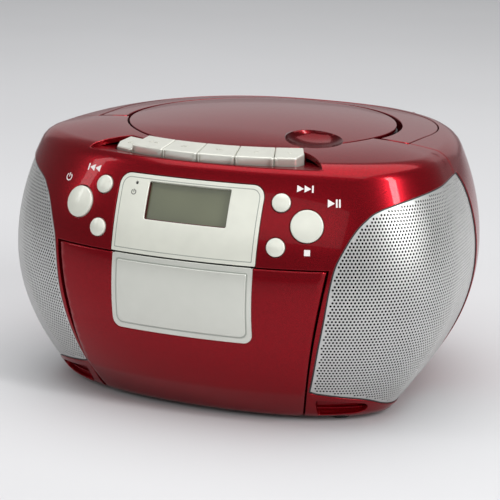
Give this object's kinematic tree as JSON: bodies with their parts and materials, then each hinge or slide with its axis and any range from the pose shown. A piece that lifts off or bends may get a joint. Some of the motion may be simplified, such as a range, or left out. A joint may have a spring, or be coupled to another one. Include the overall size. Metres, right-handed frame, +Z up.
{
  "type": "cassette player",
  "caption": "Rounded tabletop radio cassette player with a top-loading disc lid, tilting front cassette door, curved perforated speaker grilles, a fan of tape keys and a folding U handle.",
  "frame": {"origin": "centre of the footprint at floor level, under the feet", "axes": "+X to the right as seen from the front, -Y out of the front panel, +Z up"},
  "size_m": [0.2998, 0.2484, 0.1738],
  "materials": {
    "candy_red_plastic": "glossy candy red lacquer over moulded plastic",
    "dark_red_plastic": "glossy dark red moulded plastic",
    "pearl_plastic": "satin pearl silver paint over moulded plastic",
    "silver_plastic": "silver paint over moulded plastic",
    "grille_metal": "perforated bright metal sheet",
    "lcd_glass": "unlit grey-green display",
    "black_plastic": "black moulded plastic",
    "plated_steel": "bright plated steel",
    "brass": "turned brass",
    "ferrite": "dark grey ceramic ring magnet",
    "cone_paper": "black pressed paper",
    "rubber": "matt black rubber",
    "circuit_board": "green solder mask"
  },
  "bodies": {
    "case": {"front_cabinet": "candy_red_plastic", "rear_cabinet": "candy_red_plastic", "display_bezel": "pearl_plastic", "ac_inlet": "black_plastic", "spindle_motor": "plated_steel", "left_handle_pin": "plated_steel", "right_handle_pin": "plated_steel", "left_speaker_frame": "plated_steel", "right_speaker_frame": "plated_steel", "tape_chassis": "plated_steel", "tape_motor": "plated_steel", "power_transformer": "plated_steel", "cd_deck": "dark_red_plastic", "lcd_module": "lcd_glass", "left_grille": "grille_metal", "right_grille": "grille_metal", "drive_belt": "rubber", "front_left_foot": "rubber", "front_right_foot": "rubber", "rear_left_foot": "rubber", "rear_right_foot": "rubber", "left_speaker_cone": "cone_paper", "left_speaker_magnet": "ferrite", "right_speaker_cone": "cone_paper", "right_speaker_magnet": "ferrite", "main_circuit_board": "circuit_board"},
    "door": {"cassette_door": "candy_red_plastic", "door_window": "silver_plastic", "cassette_holder": "black_plastic"},
    "lid": {"cd_lid": "candy_red_plastic"},
    "handle_body": {"handle": "candy_red_plastic"},
    "hub": {"cd_spindle_hub": "black_plastic"},
    "sled": {"laser_sled": "black_plastic"},
    "supply": {"supply_reel": "black_plastic"},
    "takeup": {"takeup_reel": "black_plastic"},
    "flywheel": {"capstan_flywheel": "brass"},
    "pulley": {"motor_pulley": "brass"},
    "roller": {"pinch_roller": "rubber"},
    "head": {"tape_head": "plated_steel"},
    "volume": {"volume_wheel": "black_plastic"},
    "tuning": {"tuning_wheel": "black_plastic"},
    "selector": {"function_switch": "black_plastic"},
    "battery_cover": {"battery_door": "candy_red_plastic"},
    "antenna": {"antenna_pivot": "black_plastic", "antenna_tube": "plated_steel"},
    "antenna_tip": {"antenna_rod": "plated_steel"},
    "power_button_body": {"power_button": "pearl_plastic"},
    "play_pause_button_body": {"play_pause_button": "pearl_plastic"},
    "skip_back_button_body": {"skip_back_button": "pearl_plastic"},
    "skip_forward_button_body": {"skip_forward_button": "pearl_plastic"},
    "repeat_button_body": {"repeat_button": "pearl_plastic"},
    "memory_button_body": {"memory_button": "pearl_plastic"},
    "pause_key_body": {"pause_key": "silver_plastic"},
    "stop_eject_key_body": {"stop_eject_key": "silver_plastic"},
    "fast_forward_key_body": {"fast_forward_key": "silver_plastic"},
    "rewind_key_body": {"rewind_key": "silver_plastic"},
    "play_key_body": {"play_key": "silver_plastic"},
    "record_key_body": {"record_key": "silver_plastic"}
  },
  "joints": [
    {"name": "cassette_door_hinge", "type": "hinge", "parent": "case", "child": "door", "pos_m": [0, -0.09085, 0.0095], "axis": [1, 0, 0], "range_deg": [0, 30]},
    {"name": "cd_lid_hinge", "type": "hinge", "parent": "case", "child": "lid", "pos_m": [0, 0.09655, 0.166], "axis": [-1, 0, 0], "range_deg": [0, 60]},
    {"name": "handle_hinge", "type": "hinge", "parent": "case", "child": "handle_body", "pos_m": [0, -0.00625, 0.1604], "axis": [1, 0, 0], "range_deg": [0, 90]},
    {"name": "cd_hub_spin", "type": "hinge", "parent": "case", "child": "hub", "pos_m": [0, 0.00915, 0.15], "axis": [0, 0, 1], "continuous": true},
    {"name": "laser_sled_slide", "type": "slide", "parent": "case", "child": "sled", "axis": [1, 0, 0], "range_m": [0, 0.028]},
    {"name": "supply_reel_spin", "type": "hinge", "parent": "case", "child": "supply", "pos_m": [-0.02125, -0.07945, 0.066], "axis": [0, 1, 0], "continuous": true},
    {"name": "takeup_reel_spin", "type": "hinge", "parent": "case", "child": "takeup", "pos_m": [0.02125, -0.07945, 0.066], "axis": [0, 1, 0], "continuous": true},
    {"name": "flywheel_spin", "type": "hinge", "parent": "case", "child": "flywheel", "pos_m": [0.022, -0.07345, 0.097], "axis": [0, 1, 0], "continuous": true},
    {"name": "motor_pulley_spin", "type": "hinge", "parent": "case", "child": "pulley", "pos_m": [-0.038, -0.06945, 0.04], "axis": [0, 1, 0], "continuous": true},
    {"name": "pinch_roller_spin", "type": "hinge", "parent": "case", "child": "roller", "pos_m": [0.0293, -0.08345, 0.097], "axis": [0, 1, 0], "continuous": true},
    {"name": "tape_head_slide", "type": "slide", "parent": "case", "child": "head", "axis": [0, 0, -1], "range_m": [0, 0.004]},
    {"name": "power_button_press", "type": "slide", "parent": "case", "child": "power_button_body", "axis": [0.2729, 0.8999, -0.3401], "range_m": [0, 0.0015], "stiffness_N_per_m": 300},
    {"name": "play_pause_button_press", "type": "slide", "parent": "case", "child": "play_pause_button_body", "axis": [-0.2729, 0.8999, -0.3401], "range_m": [0, 0.0015], "stiffness_N_per_m": 300},
    {"name": "skip_back_button_press", "type": "slide", "parent": "case", "child": "skip_back_button_body", "axis": [0.1899, 0.8892, -0.4162], "range_m": [0, 0.0015], "stiffness_N_per_m": 300},
    {"name": "skip_forward_button_press", "type": "slide", "parent": "case", "child": "skip_forward_button_body", "axis": [-0.1899, 0.8892, -0.4162], "range_m": [0, 0.0015], "stiffness_N_per_m": 300},
    {"name": "repeat_button_press", "type": "slide", "parent": "case", "child": "repeat_button_body", "axis": [0.1968, 0.9458, -0.2582], "range_m": [0, 0.0015], "stiffness_N_per_m": 300},
    {"name": "memory_button_press", "type": "slide", "parent": "case", "child": "memory_button_body", "axis": [-0.1968, 0.9458, -0.2582], "range_m": [0, 0.0015], "stiffness_N_per_m": 300},
    {"name": "pause_key_press", "type": "slide", "parent": "case", "child": "pause_key_body", "axis": [0, 0, -1], "range_m": [-0.003, 0.001]},
    {"name": "stop_eject_key_press", "type": "slide", "parent": "case", "child": "stop_eject_key_body", "axis": [0, 0, -1], "range_m": [0, 0.004], "stiffness_N_per_m": 200},
    {"name": "fast_forward_key_press", "type": "slide", "parent": "case", "child": "fast_forward_key_body", "axis": [0, 0, -1], "range_m": [0, 0.004], "stiffness_N_per_m": 200},
    {"name": "rewind_key_press", "type": "slide", "parent": "case", "child": "rewind_key_body", "axis": [0, 0, -1], "range_m": [0, 0.004], "stiffness_N_per_m": 200},
    {"name": "play_key_press", "type": "slide", "parent": "case", "child": "play_key_body", "axis": [0, 0, -1], "range_m": [0, 0.004], "stiffness_N_per_m": 200},
    {"name": "record_key_press", "type": "slide", "parent": "case", "child": "record_key_body", "axis": [0, 0, -1], "range_m": [0, 0.004], "stiffness_N_per_m": 200},
    {"name": "volume_wheel_turn", "type": "hinge", "parent": "case", "child": "volume", "pos_m": [-0.11651, 0.06865, 0.104], "axis": [0, 0, 1], "range_deg": [-150, 150]},
    {"name": "tuning_wheel_turn", "type": "hinge", "parent": "case", "child": "tuning", "pos_m": [0.11651, 0.06865, 0.104], "axis": [0, 0, 1], "range_deg": [-150, 150]},
    {"name": "function_switch_slide", "type": "slide", "parent": "case", "child": "selector", "axis": [0.5788, 0.8155, 0], "range_m": [-0.004, 0.004]},
    {"name": "battery_door_hinge", "type": "hinge", "parent": "case", "child": "battery_cover", "pos_m": [0, 0.12395, 0.05], "axis": [-1, 0, 0], "range_deg": [0, 80]},
    {"name": "antenna_hinge", "type": "hinge", "parent": "case", "child": "antenna", "pos_m": [0.0623, 0.12135, 0.1437], "axis": [0, 1, 0], "range_deg": [0, 90]},
    {"name": "antenna_rod_slide", "type": "slide", "parent": "antenna", "child": "antenna_tip", "axis": [-1, 0, 0], "range_m": [0, 0.11]}
  ],
  "couplings": [
    {"joint": "motor_pulley_spin", "follows": "flywheel_spin", "ratio": 5.2424},
    {"joint": "pinch_roller_spin", "follows": "flywheel_spin", "ratio": -0.2143},
    {"joint": "supply_reel_spin", "follows": "flywheel_spin", "ratio": 0.1},
    {"joint": "takeup_reel_spin", "follows": "flywheel_spin", "ratio": 0.1},
    {"joint": "tape_head_slide", "follows": "play_key_press", "ratio": 1}
  ]
}
